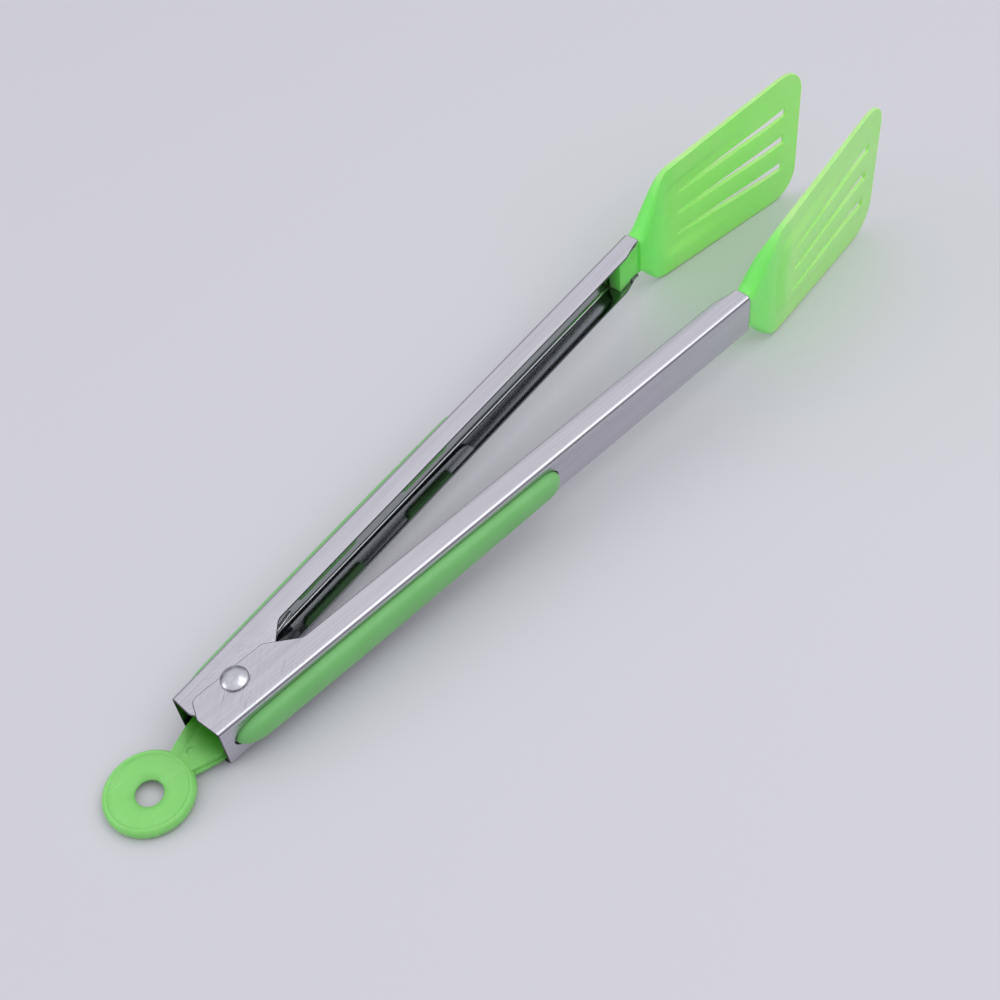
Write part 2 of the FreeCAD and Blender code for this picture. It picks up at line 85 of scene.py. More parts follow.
# The tongs' own frame, in millimetres: X runs forward from the rivet, Y to the left, Z up the rivet.
joints = {joint["name"]: joint for joint in frame["joints"]}
hinge_point = Vector(joints["arm_left_close"]["pos_m"])
hinge_up = Vector(joints["arm_right_close"]["axis"]).normalized()
leftward = Vector((0, 1, 0))
forward = leftward.cross(hinge_up)
tongs_turn = Matrix((forward, leftward, hinge_up)).transposed()
tongs_place = Matrix.Translation(hinge_point) @ tongs_turn.to_4x4() @ Matrix.Scale(MM, 4)
half_open = Matrix.Rotation(OPEN_ANGLE, 4, "Z") @ Matrix.Translation((0, 0, -LUG_SHIFT))
turned_over = Matrix.Rotation(math.pi, 4, "X")
left_place = tongs_place @ half_open
right_place = tongs_place @ turned_over @ half_open
sides = (("left", left_place), ("right", right_place))


def new_material(name):
    material = bpy.data.materials.new(name)
    material.use_nodes = True
    tree = material.node_tree
    shader = tree.nodes["Principled BSDF"]
    return material, tree, shader


def place_mapping(tree, place):
    """Object coordinates turned into a piece's own frame, in millimetres."""
    source = tree.nodes.new("ShaderNodeTexCoord")
    mapping = tree.nodes.new("ShaderNodeMapping")
    mapping.vector_type = "TEXTURE"
    mapping.inputs["Location"].default_value = place.to_translation()
    mapping.inputs["Rotation"].default_value = place.to_euler()
    mapping.inputs["Scale"].default_value = (MM, MM, MM)
    tree.links.new(source.outputs["Object"], mapping.inputs["Vector"])
    return mapping.outputs["Vector"]


def group_tree(name, inputs, outputs):
    group = bpy.data.node_groups.new(name, "ShaderNodeTree")
    for label, kind, value in inputs:
        socket = group.interface.new_socket(label, in_out="INPUT", socket_type=kind)
        if value is not None:
            socket.default_value = value
    for label, kind in outputs:
        group.interface.new_socket(label, in_out="OUTPUT", socket_type=kind)
    return group, group.nodes.new("NodeGroupInput"), group.nodes.new("NodeGroupOutput")


def feed(tree, socket, given):
    """Sets a socket to a constant, or links another node's output to it."""
    if isinstance(given, (int, float, tuple)):
        socket.default_value = given
    else:
        tree.links.new(given, socket)


def add_noise(tree, vector, scale, detail, stretch=(1, 1, 1), roughness=0.5):
    mapping = tree.nodes.new("ShaderNodeMapping")
    mapping.inputs["Scale"].default_value = stretch
    noise = tree.nodes.new("ShaderNodeTexNoise")
    noise.inputs["Scale"].default_value = scale
    noise.inputs["Detail"].default_value = detail
    noise.inputs["Roughness"].default_value = roughness
    tree.links.new(vector, mapping.inputs["Vector"])
    tree.links.new(mapping.outputs["Vector"], noise.inputs["Vector"])
    return noise.outputs["Fac"]


def add_range(tree, value, low, high, to_low, to_high):
    node = tree.nodes.new("ShaderNodeMapRange")
    node.inputs["From Min"].default_value = low
    node.inputs["From Max"].default_value = high
    feed(tree, node.inputs["To Min"], to_low)
    feed(tree, node.inputs["To Max"], to_high)
    tree.links.new(value, node.inputs["Value"])
    return node.outputs["Result"]


def add_math(tree, operation, first, second):
    node = tree.nodes.new("ShaderNodeMath")
    node.operation = operation
    feed(tree, node.inputs[0], first)
    feed(tree, node.inputs[1], second)
    return node.outputs["Value"]


def weighted_sum(tree, first, first_share, second, second_share):
    first_part = add_math(tree, "MULTIPLY", first, first_share)
    second_part = add_math(tree, "MULTIPLY", second, second_share)
    return add_math(tree, "ADD", first_part, second_part)


def add_mix(tree, factor, first, second):
    node = tree.nodes.new("ShaderNodeMix")
    node.data_type = "RGBA"
    factor_socket, first_colour, second_colour, mixed_colour = 0, 6, 7, 2
    feed(tree, node.inputs[factor_socket], factor)
    feed(tree, node.inputs[first_colour], first)
    feed(tree, node.inputs[second_colour], second)
    return node.outputs[mixed_colour]


def add_bump(tree, height, strength, depth):
    """A bump whose depth is in millimetres. Its strength is a constant or another node's output."""
    bump = tree.nodes.new("ShaderNodeBump")
    bump.inputs["Distance"].default_value = depth * MM
    feed(tree, bump.inputs["Strength"], strength)
    tree.links.new(height, bump.inputs["Height"])
    return bump.outputs["Normal"]


def brushed_lines_group():
    """Fine lengthwise grinding lines, broader streaks, cross scratches at the hinge and smudges."""
    group, start, end = group_tree(
        "brushed_lines",
        [("Vector", "NodeSocketVector", None), ("Strength", "NodeSocketFloat", 1.0)],
        [("Shade", "NodeSocketFloat"), ("Scratches", "NodeSocketFloat"),
         ("Roughness", "NodeSocketFloat"), ("Normal", "NodeSocketVector")],
    )
    vector = start.outputs["Vector"]
    fine = add_noise(group, vector, 1.0, 3, BRUSH_LINES, 0.6)
    streaks = add_noise(group, vector, 1.0, 2, BRUSH_STREAKS)
    smudges = add_noise(group, vector, 0.09, 3)
    turned = group.nodes.new("ShaderNodeMapping")
    turned.inputs["Rotation"].default_value = (0, 0, CROSS_ANGLE)
    group.links.new(vector, turned.inputs["Vector"])
    cross = add_noise(group, turned.outputs["Vector"], 1.0, 3, CROSS_LINES, 0.6)
    split = group.nodes.new("ShaderNodeSeparateXYZ")
    group.links.new(vector, split.inputs["Vector"])
    near_hinge = add_range(group, split.outputs["X"], CROSS_FULL_TO, CROSS_GONE_FROM, 1.0, 0.0)
    cross_share = add_math(group, "MULTIPLY", add_math(group, "SUBTRACT", cross, 0.5), near_hinge)
    lines = add_math(group, "ADD", fine, cross_share)
    ticks = add_math(group, "MULTIPLY", add_range(group, cross, 0.64, 0.70, 0.0, 1.0), near_hinge)
    group.links.new(ticks, end.inputs["Scratches"])
    shade = weighted_sum(group, lines, 0.75, streaks, 0.25)
    group.links.new(shade, end.inputs["Shade"])
    group.links.new(weighted_sum(group, shade, 0.3, smudges, 0.25), end.inputs["Roughness"])
    normal = add_bump(group, lines, start.outputs["Strength"], 0.02)
    group.links.new(normal, end.inputs["Normal"])
    return group


brushed_lines = brushed_lines_group()


def brushed_steel(name, place):
    """Stainless sheet, brushed along X of its place, smoother inside the channel and painted darker there
    as shade. The faces of its broken edges are painted near black as shade.
    """
    material, tree, shader = new_material(name)
    vector = place_mapping(tree, place)
    lines = tree.nodes.new("ShaderNodeGroup")
    lines.node_tree = brushed_lines
    lines.inputs["Strength"].default_value = BRUSH_DEPTH
    tree.links.new(vector, lines.inputs["Vector"])
    split = tree.nodes.new("ShaderNodeSeparateXYZ")
    tree.links.new(vector, split.inputs["Vector"])
    web_middle = WEB_OFFSET - SHEET / 2
    cheek_middle = CHANNEL_HALF - SHEET / 2
    # Painted shade: a mask for the inside of the channel, between the web and the cheeks, where the colour
    # is darkened as shade. The same mask makes the inside smoother.
    under_web = add_range(tree, split.outputs["Y"], web_middle - 0.1, web_middle + 0.1, 1.0, 0.0)
    height = add_math(tree, "ABSOLUTE", split.outputs["Z"], 0)
    between_cheeks = add_range(tree, height, cheek_middle - 0.1, cheek_middle + 0.1, 1.0, 0.0)
    inside = add_math(tree, "MULTIPLY", under_web, between_cheeks)
    shade = add_range(tree, lines.outputs["Shade"], NOISE_LOW, NOISE_HIGH, 0.0, 1.0)
    ground = add_mix(tree, shade, STEEL_GROOVE, STEEL_COLOUR)
    scratched = add_mix(tree, lines.outputs["Scratches"], ground, STEEL_SCRATCH_AND_EDGE_SHADE)
    # Inside the channel the colour goes over to the darker painted shade.
    faces = add_mix(tree, inside, scratched, STEEL_INSIDE_SHADE)
    # Painted shade: the faces that break every cut edge are painted near black, which draws a thin dark
    # line along the edges, such as where the lugs lie on each other.
    painted_edge_shade = tree.nodes.new("ShaderNodeAttribute")
    painted_edge_shade.attribute_name = "painted_edge_shade"
    colour = add_mix(tree, painted_edge_shade.outputs["Fac"], faces, STEEL_SCRATCH_AND_EDGE_SHADE)
    tree.links.new(colour, shader.inputs["Base Color"])
    outside_roughness = add_range(tree, lines.outputs["Roughness"], 0.15, 0.4,
                                  STEEL_ROUGHNESS - 0.06, STEEL_ROUGHNESS + 0.08)
    roughness = add_range(tree, inside, 0, 1, outside_roughness, INSIDE_ROUGHNESS)
    tree.links.new(roughness, shader.inputs["Roughness"])
    tree.links.new(lines.outputs["Normal"], shader.inputs["Normal"])
    shader.inputs["Metallic"].default_value = 1.0
    return material


def finish_mesh(bm, name, body, material, smooth_angle=0.6):
    """Turns a bmesh into a smooth-shaded piece with a slot, which rides on a body if one is named."""
    bmesh.ops.recalc_face_normals(bm, faces=bm.faces)
    mesh = bpy.data.meshes.new(name)
    bm.to_mesh(mesh)
    bm.free()
    piece = bpy.data.objects.new(name, mesh)
    bpy.context.scene.collection.objects.link(piece)
    mesh.shade_smooth()
    mesh.set_sharp_from_angle(angle=smooth_angle)
    mesh.materials.append(material)
    if body:
        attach(piece, body)
    return piece


def soften_edges(bm, edges, width, segments=2, clamped=True):
    out = bmesh.ops.bevel(bm, geom=edges, offset=width, segments=segments, profile=0.5,
                          affect="EDGES", material=-1, clamp_overlap=clamped)
    return out["faces"]


def edges_over(bm, angle):
    """Edges whose two faces turn by more than an angle."""
    return [edge for edge in bm.edges if edge.is_manifold and edge.calc_face_angle() > angle]


for side, place in sides:
    steel = brushed_steel("steel_" + side, place)
    bm = bmesh.new()
    bm.from_mesh(frame["nodes"]["arm_" + side].data)
    bmesh.ops.remove_doubles(bm, verts=bm.verts, dist=MERGE_GAP * MM)
    bmesh.ops.dissolve_limit(bm, angle_limit=FLAT_ANGLE, verts=bm.verts, edges=bm.edges)
    cut_edges = edges_over(bm, CUT_EDGE_ANGLE)
    # Marks the faces that break each cut edge, which are painted near black as shade.
    edge_shade_layer = bm.faces.layers.float.new("painted_edge_shade")
    for face in soften_edges(bm, cut_edges, EDGE_BREAK * MM, clamped=False):
        face[edge_shade_layer] = 1.0
    arm = finish_mesh(bm, "channel_" + side, side, steel, ARM_SMOOTH_ANGLE)
    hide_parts("arm_" + side)

# ---- Grip pads --------------------------------------------------------------------------------------
# Two soft green mouldings, long and crowned with rounded ends, in a pressed pocket of each web. Two
# lugs on the back of each go through long holes and are spread inside the arm to hold it.
POCKET_DEPTH = 0.8
POCKET_FLOOR = WEB_OFFSET - POCKET_DEPTH
PAD_BACK = -1.0
PAD_TAIL_LENGTH = 9.35
PAD_TAIL_SHARE = -0.7
PAD_FORE = 112.4
PAD_FORE_LENGTH = 6.75
PAD_FORE_SHARE = 0.76
PAD_END_HALF = 4.65
PAD_BULGE = 0.8
PAD_CROWN = 4.0
PAD_SQUARENESS = 2.3
PAD_COLUMNS = 96
PAD_ROWS = 28
PAD_LUGS = ((35.0, 62.0), (85.0, 107.0))
LUG_STEM = (-0.1, 1.7, 9.7, 10.8)
LUG_HEAD = (0.6, 2.4, 9.1, 9.9)
LUG_ROUNDNESS = 0.98
LEVEL_GAP = 0.0001
CORNER_STEPS = 6
LUG_EDGE = 0.2
PAD_LIGHT = (0.19, 0.53, 0.165, 1)
PAD_DEEP = (0.17, 0.49, 0.145, 1)
PAD_ROUGHNESS = 0.5
PAD_GRAIN = 0.5
PAD_SOAK = 0.25
PAD_SOAK_DEPTHS = (0.3, 1.0, 0.3)
PAD_SHEEN = 0.1


def rounded_face(bm, corners, to_space):
    """A flat face through (a, b, radius) corners, each rounded by a corner bevel."""
    points = [bm.verts.new(to_space(a, b)) for a, b, _ in corners]
    bm.faces.new(points)
    count = len(corners)
    for i, (_, _, radius) in enumerate(corners):
        if radius == 0:
            continue
        here = to_space(*corners[i][:2])
        back = to_space(*corners[i - 1][:2]) - here
        ahead = to_space(*corners[(i + 1) % count][:2]) - here
        reach = radius / math.tan(back.angle(ahead) / 2)
        bmesh.ops.bevel(bm, geom=[points[i]], offset=reach, segments=CORNER_STEPS,
                        profile=0.5, affect="VERTICES", material=-1)


def thicken(bm, faces, step):
    """Extrudes faces along a vector and returns the moved vertices."""
    out = bmesh.ops.extrude_face_region(bm, geom=faces, use_keep_orig=True)
    moved = [item for item in out["geom"] if isinstance(item, bmesh.types.BMVert)]
    bmesh.ops.translate(bm, verts=moved, vec=step)
    return moved


def pad_dome(bm):
    """The crowned outside of a pad: a grid wrapped over a long dome, closed by a flat back. The grid
    runs from -1 to 1 both ways, and its ends past the two shares go round the rounded ends."""
    grid = bmesh.ops.create_grid(bm, x_segments=PAD_COLUMNS, y_segments=PAD_ROWS, size=1)
    for vertex in grid["verts"]:
        along, across = vertex.co.x, math.sin(vertex.co.y * math.pi / 2)
        rounding, half = 1.0, PAD_END_HALF
        if along < PAD_TAIL_SHARE:
            turn = (PAD_TAIL_SHARE - along) / (PAD_TAIL_SHARE + 1) * math.pi / 2
            x, rounding = PAD_BACK - PAD_TAIL_LENGTH * math.sin(turn), math.cos(turn)
        elif along > PAD_FORE_SHARE:
            turn = (along - PAD_FORE_SHARE) / (1 - PAD_FORE_SHARE) * math.pi / 2
            x, rounding = PAD_FORE + PAD_FORE_LENGTH * math.sin(turn), math.cos(turn)
        else:
            share = (along - PAD_TAIL_SHARE) / (PAD_FORE_SHARE - PAD_TAIL_SHARE)
            x = PAD_BACK + share * (PAD_FORE - PAD_BACK)
            half += PAD_BULGE * 4 * share * (1 - share)
        fall = max(0.0, 1 - abs(across) ** PAD_SQUARENESS)
        height = PAD_CROWN * rounding * fall ** (1 / PAD_SQUARENESS)
        vertex.co = Vector((x, WEB_OFFSET + height, half * rounding * across))
    bmesh.ops.remove_doubles(bm, verts=bm.verts, dist=MERGE_GAP)
    rim = [edge for edge in bm.edges if edge.is_boundary]
    skirt = bmesh.ops.extrude_edge_only(bm, edges=rim)
    lowered = [item for item in skirt["geom"] if isinstance(item, bmesh.types.BMVert)]
    for vertex in lowered:
        vertex.co.y = POCKET_FLOOR
    bmesh.ops.contextual_create(bm, geom=[edge for edge in bm.edges if edge.is_boundary])


def pad_lug(bm, start, end):
    """A long lug: a stem through the web's hole and a spread head behind it. Each is given as its
    reach past the lug's ends, its half height, and where it starts and ends across the arm."""
    for grow, half, y0, y1 in (LUG_STEM, LUG_HEAD):
        before = set(bm.faces)
        radius = half * LUG_ROUNDNESS
        corners = [(start - grow, -half, radius), (end + grow, -half, radius),
                   (end + grow, half, radius), (start - grow, half, radius)]
        rounded_face(bm, corners, lambda a, b: Vector((a, y0, b)))
        made = [face for face in bm.faces if face not in before]
        moved = thicken(bm, made, (0, y1 - y0, 0))
        rims = {edge for vertex in moved for edge in vertex.link_edges
                if all(abs(end_point.co.y - y1) < LEVEL_GAP for end_point in edge.verts)}
        far_rims = [edge for face in made for edge in face.edges]
        soften_edges(bm, list(rims) + far_rims, LUG_EDGE)


def moulded_surface_group():
    """Soft mould texture: fine grain, faint flow clouds and slight handling wear."""
    group, start, end = group_tree(
        "moulded_surface",
        [("Vector", "NodeSocketVector", None), ("Grain", "NodeSocketFloat", 1.0)],
        [("Cloud", "NodeSocketFloat"), ("Roughness", "NodeSocketFloat"), ("Normal", "NodeSocketVector")],
    )
    vector = start.outputs["Vector"]
    grain = add_noise(group, vector, 4.5, 2)
    cloud = add_noise(group, vector, 0.08, 3)
    scuff = add_noise(group, vector, 0.5, 4, (0.3, 2.0, 2.0))
    group.links.new(cloud, end.inputs["Cloud"])
    group.links.new(weighted_sum(group, scuff, 0.5, cloud, 0.5), end.inputs["Roughness"])
    normal = add_bump(group, grain, start.outputs["Grain"], 0.03)
    group.links.new(normal, end.inputs["Normal"])
    return group


moulded_surface = moulded_surface_group()


def moulded_plastic(name, place, light, deep, rough, grain):
    """Coloured moulding with a faint cloudy colour and a fine grain. Returns material, tree, shader."""
    material, tree, shader = new_material(name)
    surface = tree.nodes.new("ShaderNodeGroup")
    surface.node_tree = moulded_surface
    surface.inputs["Grain"].default_value = grain
    tree.links.new(place_mapping(tree, place), surface.inputs["Vector"])
    cloud = add_range(tree, surface.outputs["Cloud"], NOISE_LOW, NOISE_HIGH, 0.0, 1.0)
    tree.links.new(add_mix(tree, cloud, deep, light), shader.inputs["Base Color"])
    roughness = add_range(tree, surface.outputs["Roughness"], NOISE_LOW, NOISE_HIGH,
                          rough - 0.03, rough + 0.03)
    tree.links.new(roughness, shader.inputs["Roughness"])
    tree.links.new(surface.outputs["Normal"], shader.inputs["Normal"])
    return material, tree, shader


for side, place in sides:
    bm = bmesh.new()
    pad_dome(bm)
    for start, end in PAD_LUGS:
        pad_lug(bm, start, end)
    bmesh.ops.transform(bm, matrix=place, verts=bm.verts)
    soft, tree, shader = moulded_plastic(
        "soft_grip_" + side, place, PAD_LIGHT, PAD_DEEP, PAD_ROUGHNESS, PAD_GRAIN)
    shader.inputs["Subsurface Weight"].default_value = PAD_SOAK
    shader.inputs["Subsurface Radius"].default_value = PAD_SOAK_DEPTHS
    shader.inputs["Subsurface Scale"].default_value = MM
    shader.inputs["Sheen Weight"].default_value = PAD_SHEEN
    pad = finish_mesh(bm, "pad_" + side, side, soft)
    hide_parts("grip_pad_" + side)

# ---- Turner heads -----------------------------------------------------------------------------------
# Two translucent green mouldings. The blade is a thin dished plate with three slots that widen to the
# tip; it runs into a deep neck and a tongue, which the pinched front corners of the channel hold.
ARM_FRONT = 212.0
HEAD_GAP = 0.12
BLADE_BACK = ARM_FRONT + HEAD_GAP
BLADE_INSET = 0.3
TOE_IN = math.radians(10.33)
BLADE_LENGTH = 91.2
TIP_RADIUS = 12.3
HEEL_RUN = 15.6
NECK_HALF = 8.2
SLOT_START = 27.0
SLOT_END = 83.0
SLOT_HALF = 0.7
SLOT_WIDENING = 1.15
SLOT_SPREAD = 9.9
SLOT_SPREADING = 2.8
DISH_END = SLOT_END + 3.0
DISH_DEPTH = 1.8
DISH_FALL = 2.25
RIM_WIDTH = 7.0
DISH_SLOPE = 4.5
HEEL_SLANT = 0.14
HEEL_SLOPE = 6.0
TONGUE_TOP = 7.68
TONGUE_INNER = 5.6
TONGUE_WIDTH = 4.6
TONGUE_MIDDLE = 8.0
TONGUE_LENGTH = 11.4
TONGUE_STEP = 0.05
TONGUE_TAPER = 0.985
NECK_ROUNDING = 3.0
NECK_ROUNDING_SHARE = 0.46
NECK_ROUNDING_END = 21.0
NECK_ROUNDING_FADE = 8.0
NECK_SLANT_END = 12.0
EASE_NECK = 1.8
EASE_HEEL = 4.5
EASE_START = 7.0
EASE_FADE = 4.0
EASE_FACES = 2.0
HEAD_EDGE = 0.35
HEAD_EDGE_ANGLE = 0.7
NECK_COLUMNS = 16
HEEL_COLUMNS = 13
SLOT_COLUMNS = 26
TIP_COLUMNS = 14
EDGE_LINE = [(-20, NECK_HALF), (2.2, NECK_HALF), (HEEL_RUN, 24.4), (BLADE_LENGTH, 30.0), (200, 38)]
OUTER_LINE = [(-20, 0.2), (0, 0.2), (12.5, 1.0), (BLADE_LENGTH, 0.55), (200, 0.5)]
INNER_LINE = [(-20, -6.6), (3, -6.4), (9, -4.9), (15, -2.0), (19, -1.0), (BLADE_LENGTH, -0.55),
              (200, -0.5)]
HEAD_LIGHT = (0.48, 1.0, 0.30, 1)
HEAD_DEEP = (0.43, 0.99, 0.25, 1)
# A deeper green for the thicker neck, and painted shade on the tongue where the channel closes round it.
HEAD_THICK_AND_SHADE = (0.25, 0.95, 0.18, 1)
HEAD_THICK_AND_SHADE_PART = (ARM_FRONT + 26, ARM_FRONT + 10)
HEAD_ROUGHNESS = 0.4
HEAD_SOAK = 0.9
NYLON_GRAIN = 0.25
NYLON_SOAK_DEPTHS = (2.0, 6.0, 1.2)
NYLON_GLOSS = 0.35


def on_line(points, x):
    for (x0, y0), (x1, y1) in zip(points, points[1:]):
        if x <= x1:
            return y0 + (y1 - y0) * (x - x0) / (x1 - x0)
    return points[-1][1]


def on_eased_line(points, x, reach):
    """The height of a line at x, averaged over a reach to each side, which rounds its corners."""
    steps = [on_line(points, x + reach * step / 4) for step in range(-4, 5)]
    return sum(steps) / len(steps)


def smooth_share(value):
    """Rises smoothly from 0 to 1 as the value does."""
    value = min(1.0, max(0.0, value))
    return value * value * (3 - 2 * value)


def blade_half(x):
    """Half height of the blade at a station, with a rounded heel and rounded tip corners."""
    ease = EASE_NECK + (EASE_HEEL - EASE_NECK) * smooth_share((x - EASE_START) / EASE_FADE)
    half = on_eased_line(EDGE_LINE, x, ease)
    into_tip = x - (BLADE_LENGTH - TIP_RADIUS)
    if into_tip > 0:
        half -= TIP_RADIUS - math.sqrt(max(0.0, TIP_RADIUS ** 2 - into_tip ** 2))
    return half


def dish(x, z):
    """How far the blade's middle stands out at a point."""
    depth = DISH_DEPTH - DISH_FALL * (x - HEEL_RUN) / (DISH_END - HEEL_RUN)
    from_edge = blade_half(min(x, BLADE_LENGTH - TIP_RADIUS)) - abs(z)
    across = smooth_share((from_edge - RIM_WIDTH) / DISH_SLOPE)
    heel = smooth_share((x - HEEL_RUN - HEEL_SLANT * abs(z)) / HEEL_SLOPE)
    return max(0.0, depth) * across * heel


def edge_rounding(x, z, thickness):
    """How far both faces of the neck come in near its outline, which fades out on the thin blade."""
    fade = smooth_share((NECK_ROUNDING_END - x) / NECK_ROUNDING_FADE)
    radius = min(NECK_ROUNDING_SHARE * thickness, NECK_ROUNDING) * fade
    short = radius - (blade_half(x) - abs(z))
    if short <= 0:
        return 0.0
    return radius - math.sqrt(max(0.0, radius ** 2 - short ** 2))


def even_stops(start, end, count):
    """A number of even steps from the start, without the end."""
    return [start + (end - start) * step / count for step in range(count)]


def blade_stations():
    """Places along the blade: even up to the slots' front end, then round the tip's corner."""
    neck = even_stops(0, HEEL_RUN, NECK_COLUMNS)
    heel = even_stops(HEEL_RUN, SLOT_START, HEEL_COLUMNS)
    slots = even_stops(SLOT_START, SLOT_END, SLOT_COLUMNS)
    tip_start = BLADE_LENGTH - TIP_RADIUS
    slots_turn = math.asin((SLOT_END - tip_start) / TIP_RADIUS)
    turns = even_stops(slots_turn, math.pi / 2, TIP_COLUMNS) + [math.pi / 2]
    tip = [tip_start + TIP_RADIUS * math.sin(turn) for turn in turns]
    return neck + heel + slots + tip


def slot_size(x):
    """Half width of the slots, and how far the outer two stand from the middle, at a station."""
    share = (x - SLOT_START) / (SLOT_END - SLOT_START)
    return SLOT_HALF + SLOT_WIDENING * share, SLOT_SPREAD + SLOT_SPREADING * share


def blade_lines(x):
    """Heights of the lengthwise lines above the middle: slot sides, dish, border and edge. Each
    stop is a height and the number of lines up to it."""
    reference = min(SLOT_END, max(SLOT_START, x))
    half, spread = slot_size(reference)
    edge = blade_half(reference)
    stops = [(0, 0), (half, 1), (spread - half, 3), (spread + half, 2),
             (edge - RIM_WIDTH - DISH_SLOPE, 2), (edge - RIM_WIDTH, 5), (edge - 1.2, 5), (edge, 3)]
    lines = [0.0]
    for (low, _), (high, count) in zip(stops, stops[1:]):
        lines += [low + (high - low) * step / count for step in range(1, count + 1)]
    scale = blade_half(x) / edge
    return [line * scale for line in lines]


def blade_plate(bm):
    """A grid laid out to the blade's lines, with its slots cut out, then given its thickness."""
    stations = blade_stations()
    columns = len(stations) - 1
    line_count = len(blade_lines(SLOT_START))
    grid = bmesh.ops.create_grid(bm, x_segments=columns, y_segments=2 * line_count - 2, size=1)
    for vertex in grid["verts"]:
        column = round((vertex.co.x + 1) / 2 * columns)
        row = round(vertex.co.y * (line_count - 1))
        x = stations[column]
        height = blade_lines(x)[abs(row)]
        vertex.co = Vector((x, 0, height if row > 0 else -height))
    open_faces = []
    for face in bm.faces:
        middle = face.calc_center_median()
        if not SLOT_START < middle.x < SLOT_END:
            continue
        half, spread = slot_size(middle.x)
        if min(abs(middle.z), abs(abs(middle.z) - spread)) < half:
            open_faces.append(face)
    bmesh.ops.delete(bm, geom=open_faces, context="FACES")
    out = bmesh.ops.extrude_face_region(bm, geom=list(bm.faces), use_keep_orig=True)
    inner = {item for item in out["geom"] if isinstance(item, bmesh.types.BMVert)}
    for vertex in bm.verts:
        x, z = vertex.co.x, vertex.co.z
        outside_y = on_eased_line(OUTER_LINE, x, EASE_FACES)
        inside_y = on_eased_line(INNER_LINE, x, EASE_FACES)
        drop = edge_rounding(x, z, outside_y - inside_y)
        vertex.co.y = (inside_y + drop if vertex in inner else outside_y - drop) + dish(x, z)
    for vertex in bm.verts:
        near_neck = max(0.0, 1 - vertex.co.x / NECK_SLANT_END)
        vertex.co.x -= vertex.co.y * math.tan(TOE_IN) * near_neck


def lengthen_end(bm, faces, step=(0, 0, 0)):
    """Extrudes an end cap along a vector, drops the old cap and returns the moved vertices."""
    out = bmesh.ops.extrude_face_region(bm, geom=faces)
    bmesh.ops.delete(bm, geom=faces, context="FACES_KEEP_BOUNDARY")
    moved = [item for item in out["geom"] if isinstance(item, bmesh.types.BMVert)]
    bmesh.ops.translate(bm, verts=moved, vec=step)
    return moved


def grow_tongue(bm):
    """Draws the neck's back end out into the tongue that sits inside the channel."""
    back = [face for face in bm.faces
            if all(abs(vertex.co.x - BLADE_BACK) < HEAD_GAP for vertex in face.verts)]
    step = lengthen_end(bm, back)
    for vertex in step:
        across = 0.0 if vertex.co.y < TONGUE_MIDDLE else TONGUE_WIDTH
        vertex.co = Vector((BLADE_BACK - TONGUE_STEP, TONGUE_INNER + across,
                            vertex.co.z * TONGUE_TOP / NECK_HALF))
    faces = {face for vertex in step for face in vertex.link_faces
             if all(corner in step for corner in face.verts)}
    for vertex in lengthen_end(bm, list(faces), (-TONGUE_LENGTH, 0, 0)):
        vertex.co.z *= TONGUE_TAPER


def translucent_green(name, place, light, deep, thick_and_shade, thick_and_shade_part, rough, soak):
    """Green nylon that light soaks through. Between two given places along X its colour goes over to a
    third, deeper one: a deeper green where the piece is thicker, and painted shade where the arms close
    round it."""
    material, tree, shader = moulded_plastic(name, place, light, deep, rough, NYLON_GRAIN)
    thin_colour = shader.inputs["Base Color"].links[0].from_socket
    split = tree.nodes.new("ShaderNodeSeparateXYZ")
    tree.links.new(place_mapping(tree, place), split.inputs["Vector"])
    # Along X the colour goes over to the deeper one: deeper green where the piece is thicker, painted
    # shade where the arms close round it.
    share = add_range(tree, split.outputs["X"], *thick_and_shade_part, 0.0, 1.0)
    tree.links.new(add_mix(tree, share, thin_colour, thick_and_shade), shader.inputs["Base Color"])
    shader.inputs["Subsurface Weight"].default_value = soak
    shader.inputs["Subsurface Radius"].default_value = NYLON_SOAK_DEPTHS
    shader.inputs["Subsurface Scale"].default_value = MM * soak
    shader.inputs["Specular IOR Level"].default_value = NYLON_GLOSS
    return material


for side, place in sides:
    bm = bmesh.new()
    blade_plate(bm)
    to_arm_end = Matrix.Translation((BLADE_BACK, WEB_OFFSET - BLADE_INSET, 0))
    toe_in = Matrix.Rotation(-TOE_IN, 4, "Z")
    bmesh.ops.transform(bm, matrix=to_arm_end @ toe_in, verts=bm.verts)
    grow_tongue(bm)
    bmesh.ops.recalc_face_normals(bm, faces=bm.faces)
    soften_edges(bm, edges_over(bm, HEAD_EDGE_ANGLE), HEAD_EDGE, 3)
    bmesh.ops.transform(bm, matrix=place, verts=bm.verts)
    green = translucent_green("green_head_" + side, place, HEAD_LIGHT, HEAD_DEEP, HEAD_THICK_AND_SHADE,
                              HEAD_THICK_AND_SHADE_PART, HEAD_ROUGHNESS, HEAD_SOAK)
    head = finish_mesh(bm, "head_" + side, side, green)
    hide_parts("turner_head_" + side)

# ---- Pivot rivet and its sleeve -----------------------------------------------------------------------
# A polished steel rivet with a low domed head on each side holds all four lugs, and runs through a
# plain sleeve that keeps them apart.
RIVET_RADIUS = 2.0
RIVET_HEAD = 4.3
RIVET_PLAY = 0.05
RIVET_SEAT = CHANNEL_HALF + LUG_SHIFT + RIVET_PLAY
RIVET_RIM = 0.5
RIVET_DOME = 1.5
RIVET_RIM_EDGE = 0.15
DOME_STEPS = 12
RIVET_STEPS = 56
MERGE_CLOSE = 0.001
RIVET_BRIGHT = (0.68, 0.68, 0.72, 1)
RIVET_ROUGHNESS = 0.24
SLEEVE_BRIGHT = (0.6, 0.6, 0.63, 1)
SLEEVE_ROUGHNESS = 0.35
STEEL_DENTED = (0.42, 0.42, 0.46, 1)


def give_material(piece, material):
    piece.data.materials.clear()
    piece.data.materials.append(material)


